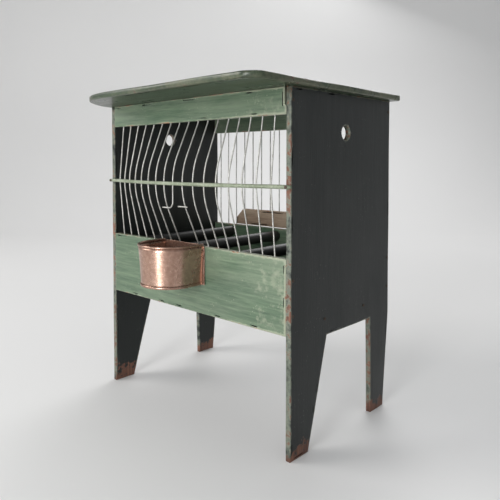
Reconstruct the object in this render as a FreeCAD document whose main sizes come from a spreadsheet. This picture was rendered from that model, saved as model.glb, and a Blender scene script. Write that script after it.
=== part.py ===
import FreeCAD, Part
import math
import os
import re

import Sketcher

# Wooden bird cage on its own four legs. Millimetres, +Z up, front towards -Y.
# The origin is on the floor, under the middle of the roof board.

# ---- driving dimensions -------------------------------------------------------------------------

sizes = {
    # box of boards, feet to the underside of the roof
    "bodyWidth": 250.0,
    "bodyDepth": 154.5,
    "bodyHeight": 300.0,
    "sideThick": 5.0,
    "railThick": 5.5,
    # heights of the rails and lower boards
    "frontRailDepth": 22.0,
    "backRailDepth": 23.0,
    "lowerBoardTop": 163.0,
    "lowerBoardBottom": 100.5,
    "floorThick": 4.0,
    "floorRise": 4.0,
    # legs cut from the side boards
    "archTop": 92.0,
    "frontLegTop": 50.0,
    "frontLegFoot": 23.6,
    "backLegTop": 34.7,
    "backLegInner": 32.2,
    "backLegTaper": 9.0,
    "sideHoleRadius": 6.5,
    "sideHoleLevel": 266.0,
    # roof board
    "roofThick": 5.5,
    "roofFrontOverhang": 54.25,
    "roofBackOverhang": 6.75,
    "roofSideOverhang": 9.5,
    "roofLeftRadius": 76.0,
    "roofRightRadius": 14.0,
    "roofBackRadius": 5.0,
    "roofEdgeRadius": 2.0,
    # wires
    "wireRadius": 0.65,
    "wireFit": 0.05,
    "wireSeat": 8.0,
    "frontWireCount": 17,
    "frontWirePitch": 13.3,
    "backWireCount": 17,
    "backWirePitch": 13.9,
    "wireBendRadius": 6.0,
    "wireBowRadius": 62.0,
    # bar that carries the front wires at half height
    "bowBarRadius": 1.75,
    "bowDepth": 19.6,
    "bowRadius": 388.0,
    "bowEndRadius": 40.0,
    "bowBarOverrun": 1.2,
    "bowHoleFit": 0.1,
    # hook of the cut wire over the feeding gap, and the short cross wire beside it
    "feedWireLevel": 198.0,
    "feedHookRadius": 5.5,
    "feedHookTail": 9.5,
    "crossWireRise": 1.6,
    "crossWireGap": 4.5,
    "crossWireOverrun": 4.1,
    # perches
    "perchRadius": 5.75,
    "perchDrop": 2.2,
    "perchPitch": 72.0,
    "perchMiddle": -16.0,
    "perchSeat": 1.8,
    "perchFit": 0.1,
    # rear door
    "doorBarLeft": -86.5,
    "doorBarRight": 17.0,
    "doorBarThick": 6.5,
    "doorBarHeight": 19.0,
    "doorBarClip": 12.0,
    "doorBarLift": 0.5,
    "doorWireCount": 6,
    "doorWireShift": -3.25,
    "doorWireLap": 3.1,
    "hingeWireRadius": 0.8,
    "hingeFit": 0.08,
    "hingeDrop": 15.0,
    "hingeRailGap": 0.3,
    "stapleRadius": 0.5,
    "stapleSeat": 4.0,
    "stapleInset": 6.5,
    "hingeLoopTurn": 265.0,
    # feed cup; its middle and its hooks' places are counted in wire pitches, to clear the wires
    "cupPitches": -0.25,
    "cupRadius": 28.0,
    "cupStraight": 17.0,
    "cupTaper": 2.4,
    "cupBottom": 128.0,
    "cupTop": 164.0,
    "cupSheet": 0.6,
    "cupSeamRise": 2.2,
    "cupSeamGap": 0.05,
    "cupRimRadius": 1.1,
    "plateRise": 1.0,
    "plateStandOff": 1.2,
    "plateMargin": 1.2,
    "hookWidth": 7.0,
    "hookLeftPitches": -1.5,
    "hookRightPitches": 0.5,
    "hookPerchGap": 0.3,
    "hookFit": 0.3,
    "hookLap": 6.0,
    # nails
    "nailRadius": 0.6,
    "nailHeadRadius": 1.3,
    "nailHeadThick": 0.5,
    "sideNailLength": 15.0,
    "lowerNailInset": 17.0,
    "roofNailLength": 14.0,
    "bowNailLength": 12.0,
}

doc = FreeCAD.newDocument("BirdCage")
sheet = doc.addObject("Spreadsheet::Sheet", "Sizes")
for row, (name, number) in enumerate(sizes.items(), start=1):
    sheet.set(f"A{row}", name)
    sheet.set(f"B{row}", str(number))
    sheet.setAlias(f"B{row}", name)
doc.recompute()

# ---- places worked out from the dimensions ------------------------------------------------------

bodyMiddle = "((roofFrontOverhang - roofBackOverhang) / 2)"
frontFace = f"({bodyMiddle} - bodyDepth / 2)"
backFace = f"({bodyMiddle} + bodyDepth / 2)"
frontWireLine = f"({frontFace} + railThick / 2)"
backWireLine = f"({backFace} - railThick / 2)"
innerWidth = "(bodyWidth - 2 * sideThick)"
innerLeft = f"(-{innerWidth} / 2)"
frontRailBottom = "(bodyHeight - frontRailDepth)"
backRailBottom = "(bodyHeight - backRailDepth)"
bowLevel = f"((lowerBoardTop + {frontRailBottom}) / 2)"
wireHole = "(wireRadius + wireFit)"
floorBottom = "(lowerBoardBottom + floorRise)"
perchLevel = "(lowerBoardTop - perchDrop - perchRadius)"
hingeReach = "(hingeWireRadius + hingeFit + wireRadius)"
hingeLine = f"({backFace} + hingeRailGap + wireRadius + {hingeReach})"
hingeLevel = "(bodyHeight - hingeDrop)"
doorMiddle = "((doorBarLeft + doorBarRight) / 2)"
doorBarBottom = "(lowerBoardTop + doorBarLift)"
cupMiddle = "(cupPitches * frontWirePitch)"
plateBack = f"({frontFace} - plateStandOff)"
plateFront = f"({plateBack} - cupSheet)"

# ---- helpers ------------------------------------------------------------------------------------


def bound(text):
    """The expression with each name of the sheet written in full."""
    return re.sub(r"[A-Za-z]\w*", lambda word: "Sizes." * (word[0] in sizes) + word[0], text)


def value(text):
    """The number that an expression comes to."""
    result = sheet.evalExpression(bound(text))
    return float(getattr(result, "Value", result))


def point(x, y, z):
    return FreeCAD.Vector(value(x), value(y), value(z))


def place(part, x="0", y="0", z="0"):
    for axis, text in zip("xyz", (x, y, z)):
        part.setExpression(f"Placement.Base.{axis}", bound(text))


def newBody(label):
    body = doc.addObject("PartDesign::Body", label)
    body.Label = label
    return body


def originItem(body, role):
    return next(item for item in body.Origin.OriginFeatures if item.Role == role)


def newSketch(body, role, level="0"):
    sketch = body.newObject("Sketcher::SketchObject", "Outline")
    sketch.AttachmentSupport = [(originItem(body, role), "")]
    sketch.MapMode = "FlatFace"
    sketch.setExpression("AttachmentOffset.Base.z", bound(level))
    return sketch


def pin(sketch, kind, items, text):
    """A dimension of the sketch, bound to an expression."""
    number = sketch.addConstraint(Sketcher.Constraint(kind, *items, value(text)))
    sketch.setExpression(f"Constraints[{number}]", bound(text))


def polygon(sketch, corners):
    """A closed outline of straight edges through corners given as two expressions each."""
    points = [FreeCAD.Vector(value(across), value(up), 0) for across, up in corners]
    first = sketch.GeometryCount
    for start, end in zip(points, points[1:] + points[:1]):
        sketch.addGeometry(Part.LineSegment(start, end))
    for turn, (across, up) in enumerate(corners):
        index = first + turn
        following = first + (turn + 1) % len(corners)
        sketch.addConstraint(Sketcher.Constraint("Coincident", index, 2, following, 1))
        pin(sketch, "DistanceX", (-1, 1, index, 1), across)
        pin(sketch, "DistanceY", (-1, 1, index, 1), up)


def circle(sketch, across, up, radius):
    centre = FreeCAD.Vector(value(across), value(up), 0)
    index = sketch.addGeometry(Part.Circle(centre, FreeCAD.Vector(0, 0, 1), value(radius)))
    pin(sketch, "DistanceX", (-1, 1, index, 3), across)
    pin(sketch, "DistanceY", (-1, 1, index, 3), up)
    pin(sketch, "Radius", (index,), radius)


def pad(body, sketch, length, reverse=False):
    feature = body.newObject("PartDesign::Pad", "Board")
    feature.Profile = sketch
    feature.setExpression("Length", bound(length))
    feature.Reversed = reverse
    doc.recompute()
    return feature


def drill(body, role, level, spots, radius, depth, reverse=False):
    """Round holes of one depth, all drilled from one level of one origin plane."""
    before = body.Shape.Volume
    sketch = newSketch(body, role, level)
    for across, up in spots:
        circle(sketch, across, up, radius)
    feature = body.newObject("PartDesign::Pocket", "Holes")
    feature.Profile = sketch
    feature.setExpression("Length", bound(depth))
    feature.Reversed = reverse
    doc.recompute()
    if body.Shape.Volume >= before:
        raise RuntimeError(f"{body.Label}: the holes at {level} cut nothing")
    return feature


def wireRow(count, pitch):
    """Places of a centred row of wires, as expressions."""
    return [f"(({index} - ({count} - 1) / 2) * {pitch})" for index in range(round(value(count)))]


def roundEdges(body, base, radius, chosen):
    """A fillet on the edges of the base feature that the test picks."""
    names = [f"Edge{n}" for n, edge in enumerate(base.Shape.Edges, start=1) if chosen(edge)]
    feature = body.newObject("PartDesign::Fillet", "Rounding")
    feature.Base = (base, names)
    feature.setExpression("Radius", bound(radius))
    doc.recompute()
    return feature


def addShape(label, shape):
    """A sub-part whose form is worked out here from the sheet's values."""
    feature = doc.addObject("Part::Feature", label)
    feature.Label = label
    feature.Shape = shape
    return feature


def trace(start, heading, normal, moves):
    """Edges of a flat path: a number is a straight run, a pair is a bend (radius, degrees)."""
    edges = []
    here = start
    for move in moves:
        if isinstance(move, tuple):
            radius, angle = move
            centre = here + normal.cross(heading) * math.copysign(radius, angle)
            arm = here - centre
            middle = centre + FreeCAD.Rotation(normal, angle / 2).multVec(arm)
            end = centre + FreeCAD.Rotation(normal, angle).multVec(arm)
            edges.append(Part.Arc(here, middle, end).toShape())
            heading = FreeCAD.Rotation(normal, angle).multVec(heading)
        else:
            end = here + heading * move
            edges.append(Part.LineSegment(here, end).toShape())
        here = end
    return edges


def roundWire(radius, start, heading, normal, moves):
    """A round wire of one radius along such a path."""
    spine = Part.Wire(trace(start, heading, normal, moves))
    section = Part.Wire(Part.makeCircle(radius, start, heading))
    return spine.makePipeShell([section], True, False)


def nail(tip, heading, length):
    """A round nail whose head's underside is at tip, driven along heading."""
    shank = Part.makeCylinder(value("nailRadius"), length, tip, heading)
    thick = value("nailHeadThick")
    head = Part.makeCylinder(value("nailHeadRadius"), thick, tip - heading * thick, heading)
    return head.fuse(shank).removeSplitter()


right = FreeCAD.Vector(1, 0, 0)
back = FreeCAD.Vector(0, 1, 0)
upward = FreeCAD.Vector(0, 0, 1)
downward = FreeCAD.Vector(0, 0, -1)

frontWires = wireRow("frontWireCount", "frontWirePitch")
cutWire = len(frontWires) // 2
barEnds = (value(doorMiddle), value("(doorBarRight - doorBarLeft) / 2 - doorWireLap"))
backWires = [
    spot
    for spot in wireRow("backWireCount", "backWirePitch")
    if abs(value(spot) - barEnds[0]) >= barEnds[1] - value("wireRadius")
]
doorWires = [f"({doorMiddle} + doorWireShift + {spot})" for spot in wireRow("doorWireCount", "backWirePitch")]
perches = {
    "perch_left": "(perchMiddle - perchPitch)",
    "perch_middle": "perchMiddle",
    "perch_right": "(perchMiddle + perchPitch)",
}
railNailLevels = {
    "upper": "(bodyHeight - frontRailDepth / 2)",
    "middle": "(lowerBoardTop - lowerNailInset)",
    "lower": "(lowerBoardBottom + lowerNailInset)",
}

# ---- side boards: one plank each, arched below into two tapered legs -----------------------------

nailRows = [
    (line, level)
    for line in ("(railThick / 2)", "(bodyDepth - railThick / 2)")
    for level in railNailLevels.values()
]
nailRows += [(f"(bodyDepth * {share})", f"({floorBottom} + floorThick / 2)") for share in (0.3, 0.7)]


def sideBoard(label, x):
    """The board in its own frame: front edge at Y 0, feet at Z 0, thickness along X."""
    board = newBody(label)
    outline = newSketch(board, "YZ_Plane")
    polygon(
        outline,
        [
            ("0", "0"),
            ("frontLegFoot", "0"),
            ("frontLegTop", "archTop"),
            ("bodyDepth - backLegTop", "archTop"),
            ("bodyDepth - backLegInner", "0"),
            ("bodyDepth - backLegTaper", "0"),
            ("bodyDepth", "archTop"),
            ("bodyDepth", "bodyHeight"),
            ("0", "bodyHeight"),
        ],
    )
    pad(board, outline, "sideThick")
    fingerHole = [("bodyDepth / 2", "sideHoleLevel")]
    drill(board, "YZ_Plane", "0", fingerHole, "sideHoleRadius", "sideThick", True)
    drill(board, "YZ_Plane", "0", nailRows, "nailRadius", "sideThick", True)
    roofNails = [("(sideThick / 2)", f"(bodyDepth * {share})") for share in (0.15, 0.5, 0.85)]
    drill(board, "XY_Plane", "bodyHeight", roofNails, "nailRadius", "roofNailLength - roofThick")
    barNail = [("sideThick / 2", bowLevel)]
    drill(board, "XZ_Plane", "0", barNail, "nailRadius", "bowNailLength - 2 * bowBarRadius")
    place(board, x, frontFace, "0")
    return board


sideBoard("side_board_left", "-bodyWidth / 2")
sideBoard("side_board_right", "bodyWidth / 2 - sideThick")

# ---- rails and lower boards, between the side boards ---------------------------------------------

railNailDepth = "sideNailLength - sideThick"
capNails = [f"({innerWidth} * {share})" for share in (0.2, 0.5, 0.8)]


def rail(label, y, bottom, top, nailLevels):
    """A straight board across the cage: left end at X 0, front face at Y 0, foot at Z 0."""
    board = newBody(label)
    outline = newSketch(board, "XZ_Plane")
    height = f"({top} - {bottom})"
    polygon(outline, [("0", "0"), (innerWidth, "0"), (innerWidth, height), ("0", height)])
    pad(board, outline, "railThick", True)
    ends = [("railThick / 2", f"({level} - {bottom})") for level in nailLevels]
    drill(board, "YZ_Plane", "0", ends, "nailRadius", railNailDepth, True)
    drill(board, "YZ_Plane", innerWidth, ends, "nailRadius", railNailDepth)
    place(board, innerLeft, y, bottom)
    return board


def drillWires(board, spots, level, reverse):
    """Blind holes for upright wires in an edge of a rail; spots are in the cage's frame."""
    holes = [(f"({spot} - {innerLeft})", "railThick / 2") for spot in spots]
    drill(board, "XY_Plane", level, holes, wireHole, "wireSeat", reverse)


def drillPerches(board, level, bottom, reverse):
    """Blind sockets for the perch ends in the inner face of a lower board."""
    holes = [(f"({spot} - {innerLeft})", f"({perchLevel} - {bottom})") for spot in perches.values()]
    drill(board, "XZ_Plane", level, holes, "perchRadius + perchFit", "perchSeat", reverse)


def drillCap(board, height):
    """Blind holes in the top edge for the nails that come down through the roof."""
    holes = [(spot, "railThick / 2") for spot in capNails]
    drill(board, "XY_Plane", height, holes, "nailRadius", "roofNailLength - roofThick")


upperNails = [railNailLevels["upper"]]
lowerNails = [railNailLevels["middle"], railNailLevels["lower"]]
backRailFront = f"({backFace} - railThick)"
lowerHeight = "(lowerBoardTop - lowerBoardBottom)"
uncutWires = frontWires[:cutWire] + frontWires[cutWire + 1 :]

frontTopRail = rail("front_top_rail", frontFace, frontRailBottom, "bodyHeight", upperNails)
drillWires(frontTopRail, frontWires, "0", True)
drillCap(frontTopRail, "frontRailDepth")

frontLowerBoard = rail("front_lower_board", frontFace, "lowerBoardBottom", "lowerBoardTop", lowerNails)
drillWires(frontLowerBoard, uncutWires, lowerHeight, False)
drillPerches(frontLowerBoard, "-railThick", "lowerBoardBottom", True)

backTopRail = rail("back_top_rail", backRailFront, backRailBottom, "bodyHeight", upperNails)
drillWires(backTopRail, backWires, "0", True)
drillCap(backTopRail, "backRailDepth")

backLowerBoard = rail("back_lower_board", backRailFront, "lowerBoardBottom", "lowerBoardTop", lowerNails)
drillWires(backLowerBoard, backWires, lowerHeight, False)
drillPerches(backLowerBoard, "0", "lowerBoardBottom", False)

stapleSpots = [
    "(doorBarLeft + stapleInset)",
    f"({doorMiddle} + doorWireShift)",
    "(doorBarRight - stapleInset)",
]
stapleReach = "(hingeWireRadius + wireFit + stapleRadius)"
stapleHoles = [
    (f"({spot} - {innerLeft})", f"({hingeLevel} - {backRailBottom} {sign} {stapleReach})")
    for spot in stapleSpots
    for sign in "+-"
]
drill(backTopRail, "XZ_Plane", "-railThick", stapleHoles, "stapleRadius", "stapleSeat", True)

# ---- floor board, with the nail holes in its ends ------------------------------------------------

floor = newBody("floor_board")
floorOutline = newSketch(floor, "XY_Plane")
floorDepth = "(bodyDepth - 2 * railThick)"
polygon(floorOutline, [("0", "0"), (innerWidth, "0"), (innerWidth, floorDepth), ("0", floorDepth)])
pad(floor, floorOutline, "floorThick")
floorEnds = [(f"(bodyDepth * {share} - railThick)", "floorThick / 2") for share in (0.3, 0.7)]
drill(floor, "YZ_Plane", "0", floorEnds, "nailRadius", railNailDepth, True)
drill(floor, "YZ_Plane", innerWidth, floorEnds, "nailRadius", railNailDepth)
place(floor, innerLeft, f"({frontFace} + railThick)", floorBottom)

# ---- roof board: rounded corners in plan, softened edges -----------------------------------------

roof = newBody("roof_board")
roofOutline = newSketch(roof, "XY_Plane")
roofWidth = "(bodyWidth + 2 * roofSideOverhang)"
roofDepth = "(bodyDepth + roofFrontOverhang + roofBackOverhang)"
polygon(roofOutline, [("0", "0"), (roofWidth, "0"), (roofWidth, roofDepth), ("0", roofDepth)])
roofSlab = pad(roof, roofOutline, "roofThick")


def uprightAt(onRight, atBack):
    """A test for the slab's upright corner edge on the given side."""

    def chosen(edge):
        middle = edge.CenterOfMass
        upright = abs(edge.tangentAt(edge.FirstParameter).z) > 0.9
        sides = (middle.x > value(roofWidth) / 2, middle.y > value(roofDepth) / 2)
        return upright and sides == (onRight, atBack)

    return chosen


def onFlatFaces(edge):
    """A test for the edges that run round the slab's top and bottom."""
    return abs(edge.tangentAt(edge.FirstParameter).z) < 0.1


roofShape = roundEdges(roof, roofSlab, "roofLeftRadius", uprightAt(False, False))
roofShape = roundEdges(roof, roofShape, "roofRightRadius", uprightAt(True, False))
roofShape = roundEdges(roof, roofShape, "roofBackRadius", uprightAt(False, True))
roofShape = roundEdges(roof, roofShape, "roofBackRadius", uprightAt(True, True))
roundEdges(roof, roofShape, "roofEdgeRadius", onFlatFaces)
roofNailSpots = [
    (f"(roofSideOverhang + {x})", f"(roofFrontOverhang + bodyDepth * {share})")
    for x in ("sideThick / 2", "bodyWidth - sideThick / 2")
    for share in (0.15, 0.5, 0.85)
]
roofNailSpots += [
    (f"(roofSideOverhang + sideThick + {spot})", f"(roofFrontOverhang + {line})")
    for spot in capNails
    for line in ("railThick / 2", "bodyDepth - railThick / 2")
]
drill(roof, "XY_Plane", "0", roofNailSpots, "nailRadius", "roofThick", True)
place(roof, f"(-{roofWidth} / 2)", f"(-{roofDepth} / 2)", "bodyHeight")

# ---- perches -------------------------------------------------------------------------------------

perchLength = "(bodyDepth - 2 * railThick + 2 * (perchSeat - perchFit))"
for label, spot in perches.items():
    perch = doc.addObject("Part::Cylinder", label)
    perch.Label = label
    perch.setExpression("Radius", bound("perchRadius"))
    perch.setExpression("Height", bound(perchLength))
    perch.Placement.Rotation = FreeCAD.Rotation(right, -90)
    place(perch, spot, f"({frontFace} + railThick - perchSeat + perchFit)", perchLevel)

# ---- bow bar: straight ends on the boards' front edges, a long arc between two easing bends -------

barEndBow = value("railThick / 2 + bowBarRadius")
barTurn = math.acos(1 - (value("bowDepth") - barEndBow) / value("bowRadius + bowEndRadius"))
curvedHalf = value("bowRadius + bowEndRadius") * math.sin(barTurn)


def bowAt(x):
    """How far the bar stands in front of the wire holes' line, at a distance x from the middle."""
    if abs(x) <= value("bowRadius") * math.sin(barTurn):
        return value("bowDepth - bowRadius") + math.sqrt(value("bowRadius") ** 2 - x * x)
    if abs(x) <= curvedHalf:
        left = curvedHalf - abs(x)
        return barEndBow + value("bowEndRadius") - math.sqrt(value("bowEndRadius") ** 2 - left * left)
    return barEndBow


barStart = FreeCAD.Vector(
    -value("bodyWidth / 2 + bowBarOverrun"), value(frontWireLine) - barEndBow, value(bowLevel)
)
barRun = -barStart.x - curvedHalf
easing = math.degrees(barTurn)
barMoves = [
    barRun,
    (value("bowEndRadius"), -easing),
    (value("bowRadius"), 2 * easing),
    (value("bowEndRadius"), -easing),
    barRun,
]
bowBar = roundWire(value("bowBarRadius"), barStart, right, upward, barMoves)
holeLength = value("4 * bowBarRadius")
nailSpots = [side * value("bodyWidth / 2 - sideThick / 2") for side in (-1, 1)]
barHoles = [
    Part.makeCylinder(
        value("wireRadius + bowHoleFit"),
        holeLength,
        FreeCAD.Vector(
            value(spot), value(frontWireLine) - bowAt(value(spot)), value(bowLevel) - holeLength / 2
        ),
    )
    for spot in frontWires
]
barHoles += [
    Part.makeCylinder(
        value("nailRadius"), holeLength, FreeCAD.Vector(x, barStart.y - holeLength / 2, barStart.z), back
    )
    for x in nailSpots
]
addShape("bow_bar", bowBar.cut(Part.makeCompound(barHoles)))

# ---- front wires: each bends out of its hole, bows through the bar and back -----------------------

openHeight = value(f"{frontRailBottom} - lowerBoardTop")
bendRadius = value("wireBendRadius")
bowedRadius = value("wireBowRadius")


def wireLean(bow):
    """Lean of a front wire's straight runs that brings it out by bow at half height, in radians.

    With R the two radii added, h the open height and t the tangent of half the lean,
    (2R - bow) t^2 - h t + bow = 0.
    """
    reach = 2 * (bendRadius + bowedRadius) - bow
    return 2 * math.atan((openHeight - math.sqrt(openHeight**2 - 4 * bow * reach)) / (2 * reach))


def frontWire(label, x):
    """The whole wire from its seat in the rail to its seat in the lower board."""
    lean = wireLean(bowAt(x))
    turn = math.degrees(lean)
    run = (openHeight / 2 - (bendRadius + bowedRadius) * math.sin(lean)) / math.cos(lean)
    seat = value("wireSeat")
    moves = [seat, (bendRadius, -turn), run, (bowedRadius, 2 * turn), run, (bendRadius, -turn), seat]
    start = FreeCAD.Vector(x, value(frontWireLine), value(frontRailBottom) + seat)
    addShape(label, roundWire(value("wireRadius"), start, downward, right, moves))


def cutFrontWire(label, x):
    """The middle wire: it stops over the feeding gap in a hook turned past the wire beside it."""
    lean = wireLean(bowAt(x))
    turn = math.degrees(lean)
    run = (openHeight / 2 - (bendRadius + bowedRadius) * math.sin(lean)) / math.cos(lean)
    seat = value("wireSeat")
    start = FreeCAD.Vector(x, value(frontWireLine), value(frontRailBottom) + seat)
    upper = trace(start, downward, right, [seat, (bendRadius, -turn), run, (bowedRadius, turn)])
    hookRadius = value("feedHookRadius")
    low = FreeCAD.Vector(x, value(frontWireLine) - bowAt(x), value(bowLevel))
    drop = low.z - value("feedWireLevel") - hookRadius
    lower = trace(low, downward, back, [drop, (hookRadius, 90), value("feedHookTail")])
    section = Part.Wire(Part.makeCircle(value("wireRadius"), start, downward))
    addShape(label, Part.Wire(upper + lower).makePipeShell([section], True, False))


for number, spot in enumerate(frontWires, start=1):
    make = cutFrontWire if number == cutWire + 1 else frontWire
    make(f"front_wire_{number:02d}", value(spot))

# ---- short cross wire over the feeding gap, in front of the wire to the right of the cut one ------

besideCut = value("frontWirePitch")
crossLevel = value("feedWireLevel + crossWireRise")
fall = value(bowLevel) - crossLevel
bowThere = bowAt(besideCut) - bowedRadius + math.sqrt(bowedRadius**2 - fall**2)
crossStart = FreeCAD.Vector(
    value("crossWireGap"),
    value(f"{frontWireLine} - 2 * wireRadius - wireFit") - bowThere,
    crossLevel,
)
crossLength = besideCut + value("crossWireOverrun - crossWireGap")
addShape(
    "feed_cross_wire", Part.makeCylinder(value("wireRadius"), crossLength, crossStart, right)
)

# ---- rear wires ----------------------------------------------------------------------------------

for number, spot in enumerate(backWires, start=1):
    label = f"back_wire_{number:02d}"
    rod = doc.addObject("Part::Cylinder", label)
    rod.Label = label
    rod.setExpression("Radius", bound("wireRadius"))
    rod.setExpression("Height", bound(f"{backRailBottom} - lowerBoardTop + 2 * (wireSeat - wireFit)"))
    place(rod, spot, backWireLine, "(lowerBoardTop - wireSeat + wireFit)")

# ---- rear door: a bar with clipped upper corners, hung by its wires from a hinge wire -------------

doorBar = newBody("door_bar")
doorOutline = newSketch(doorBar, "XZ_Plane")
barLength = "(doorBarRight - doorBarLeft)"
polygon(
    doorOutline,
    [
        ("0", "0"),
        (barLength, "0"),
        (barLength, "doorBarHeight - doorBarClip"),
        (f"{barLength} - doorBarClip", "doorBarHeight"),
        ("doorBarClip", "doorBarHeight"),
        ("0", "doorBarHeight - doorBarClip"),
    ],
)
pad(doorBar, doorOutline, "doorBarThick", True)
barFront = f"({hingeLine} - doorBarThick / 2)"
doorWireLine = f"({hingeLine} - {hingeReach})"
doorHoles = [(f"({spot} - doorBarLeft)", f"({doorWireLine} - {barFront})") for spot in doorWires]
drill(doorBar, "XY_Plane", "doorBarHeight", doorHoles, wireHole, "wireSeat")
place(doorBar, "doorBarLeft", barFront, doorBarBottom)

loopRadius = value(hingeReach)
doorRun = value(f"{hingeLevel} - {doorBarBottom} - doorBarHeight + wireSeat - wireFit")
for number, spot in enumerate(doorWires, start=1):
    foot = point(spot, doorWireLine, hingeLevel) - upward * doorRun
    loop = [doorRun, (loopRadius, -value("hingeLoopTurn"))]
    addShape(f"door_wire_{number}", roundWire(value("wireRadius"), foot, upward, right, loop))

hingeStart = point("doorBarLeft", hingeLine, hingeLevel)
addShape(
    "door_hinge_wire",
    Part.makeCylinder(value("hingeWireRadius"), value(barLength), hingeStart, right),
)

stapleLeg = value(f"{hingeLine} - {backFace} + stapleSeat")
staples = [
    roundWire(
        value("stapleRadius"),
        point(spot, f"({backFace} - stapleSeat)", f"({hingeLevel} + {stapleReach})"),
        back,
        right,
        [stapleLeg, (value(stapleReach), -180), stapleLeg],
    )
    for spot in stapleSpots
]
addShape("hinge_staples", Part.makeCompound(staples))

# ---- feed cup: a deep round-fronted tin cup with a flat back, hooked over the lower board ---------


def roundFronted(label, corners, sides):
    """A sheet piece with a half-round front and straight sides running back to the plate.

    corners is its section, as (radius, height) expressions, turned half round; sides lists the
    outlines carried straight back from it.
    """
    piece = newBody(label)
    section = newSketch(piece, "XZ_Plane")
    polygon(section, corners)
    feature = piece.newObject("PartDesign::Revolution", "HalfTurn")
    feature.Profile = section
    feature.ReferenceAxis = (originItem(piece, "Z_Axis"), [""])
    feature.Angle = 180
    feature.Reversed = True
    flanks = newSketch(piece, "XZ_Plane")
    for outline in sides:
        polygon(flanks, outline)
    pad(piece, flanks, "cupStraight", True)
    place(piece, cupMiddle, f"({plateFront} - cupStraight)", "cupBottom")


def mirrored(corners):
    return [(f"(-{across})", up) for across, up in reversed(corners)]


cupHeight = "(cupTop - cupBottom)"
foot = "(cupRadius - cupTaper)"
wallSection = [
    (f"({foot} - cupSheet)", "(cupSheet + cupSeamGap)"),
    (foot, "(cupSheet + cupSeamGap)"),
    ("cupRadius", cupHeight),
    ("(cupRadius - cupSheet)", cupHeight),
]
roundFronted("cup_wall", wallSection, [wallSection, mirrored(wallSection)])

seamLean = f"cupTaper * cupSeamRise / {cupHeight}"
baseEdge = [
    (f"({foot} + cupSeamGap + cupSheet)", "0"),
    (f"({foot} + cupSeamGap + cupSheet + {seamLean})", "cupSeamRise"),
    (f"({foot} + cupSeamGap + {seamLean})", "cupSeamRise"),
    (f"({foot} + cupSeamGap)", "cupSheet"),
]
baseSection = [("0", "0"), *baseEdge, ("0", "cupSheet")]
roundFronted("cup_base", baseSection, [baseEdge + mirrored(baseEdge)])

cupPlate = newBody("cup_back_plate")
plateOutline = newSketch(cupPlate, "XZ_Plane")
plateHalf = "(cupRadius + plateMargin)"
plateHeight = f"({cupHeight} + plateRise)"
polygon(
    plateOutline,
    [
        (f"-{plateHalf}", "0"),
        (plateHalf, "0"),
        (plateHalf, plateHeight),
        (f"-{plateHalf}", plateHeight),
    ],
)
pad(cupPlate, plateOutline, "cupSheet")
place(cupPlate, cupMiddle, plateBack, "cupBottom")

rimLine = value("cupRadius - cupSheet / 2")
rimStart = point(cupMiddle, plateFront, "(cupTop + cupRimRadius)") - right * rimLine
rimMoves = [value("cupStraight"), (rimLine, 180), value("cupStraight")]
addShape("cup_rim", roundWire(value("cupRimRadius"), rimStart, -back, upward, rimMoves))

hookProfile = [
    (plateBack, "(cupTop + plateRise - cupSheet - hookLap)"),
    (plateBack, "(lowerBoardTop + hookFit + cupSheet)"),
    (f"({frontFace} + railThick + hookFit + cupSheet)", "(lowerBoardTop + hookFit + cupSheet)"),
    (f"({frontFace} + railThick + hookFit + cupSheet)", "(lowerBoardTop - perchDrop + hookPerchGap)"),
    (f"({frontFace} + railThick + hookFit)", "(lowerBoardTop - perchDrop + hookPerchGap)"),
    (f"({frontFace} + railThick + hookFit)", "(lowerBoardTop + hookFit)"),
    (f"({plateBack} + cupSheet)", "(lowerBoardTop + hookFit)"),
    (f"({plateBack} + cupSheet)", "(cupTop + plateRise - cupSheet - hookLap)"),
]
hooks = []
for spot in ("hookLeftPitches", "hookRightPitches"):
    left = f"({spot} * frontWirePitch - hookWidth / 2)"
    corners = [point(left, y, z) for y, z in hookProfile]
    strip = Part.Face(Part.makePolygon(corners + corners[:1]))
    hooks.append(strip.extrude(right * value("hookWidth")))
addShape("cup_hooks", Part.makeCompound(hooks))

# ---- nails ---------------------------------------------------------------------------------------

sideNails = []
for side, face in ((1, "-bodyWidth / 2"), (-1, "bodyWidth / 2")):
    for line, level in nailRows:
        spot = point(face, f"({frontFace} + {line})", level)
        sideNails.append(nail(spot, right * side, value("sideNailLength")))
addShape("side_nails", Part.makeCompound(sideNails))

roofTop = "(bodyHeight + roofThick)"
roofNails = [
    nail(
        point(f"({x} - {roofWidth} / 2)", f"({y} - {roofDepth} / 2)", roofTop),
        downward,
        value("roofNailLength"),
    )
    for x, y in roofNailSpots
]
addShape("roof_nails", Part.makeCompound(roofNails))

barNails = [
    nail(FreeCAD.Vector(x, barStart.y - value("bowBarRadius"), barStart.z), back, value("bowNailLength"))
    for x in nailSpots
]
addShape("bow_bar_nails", Part.makeCompound(barNails))

# ---- build, check, write -------------------------------------------------------------------------

doc.recompute()
faults = [item.Label for item in doc.Objects if {"Invalid", "Error"} & set(item.State)]
if faults:
    raise RuntimeError(f"objects that failed to build: {faults}")

kinds = ("PartDesign::Body", "Part::Cylinder", "Part::Feature")
subparts = [item for item in doc.Objects if item.TypeId in kinds]
for item in subparts:
    if item.Shape.isNull() or not item.Shape.isValid():
        raise RuntimeError(f"{item.Label} has no valid shape")

os.makedirs("parts", exist_ok=True)
for item in subparts:
    item.Shape.exportStep(f"parts/{item.Label}.step")
print(len(subparts), "sub-parts written")
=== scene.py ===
import math

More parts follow.
